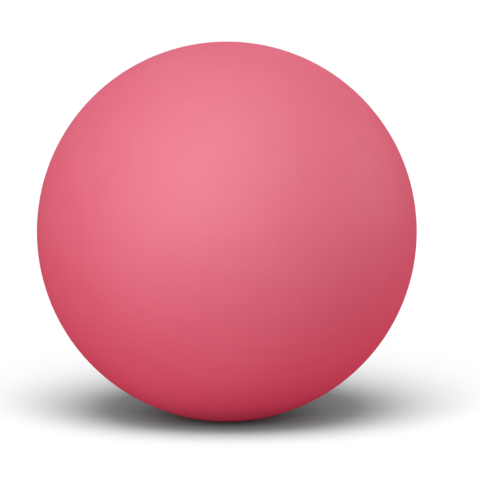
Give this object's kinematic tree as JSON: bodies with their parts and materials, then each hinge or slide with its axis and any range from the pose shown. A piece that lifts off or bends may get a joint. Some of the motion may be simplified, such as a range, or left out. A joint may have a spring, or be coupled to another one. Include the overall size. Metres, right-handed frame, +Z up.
{
  "type": "bouncy ball",
  "caption": "Hollow pink rubber bouncy ball: moulded half shells cemented rim to rim along a buffed seam, sealing in the air that makes it bounce.",
  "frame": {"origin": "centre of the ball", "axes": "+Z up; +Y along the axis that both half shells are moulded about, from the front half shell to the rear one, so the seam lies in the XZ plane"},
  "size_m": [0.0634, 0.0636, 0.0634],
  "materials": {
    "pink_rubber": "matte",
    "rubber_cement": "matte"
  },
  "bodies": {
    "root": {"front_half_shell": "pink_rubber", "rear_half_shell": "pink_rubber", "seam_cement": "rubber_cement"}
  },
  "joints": []
}
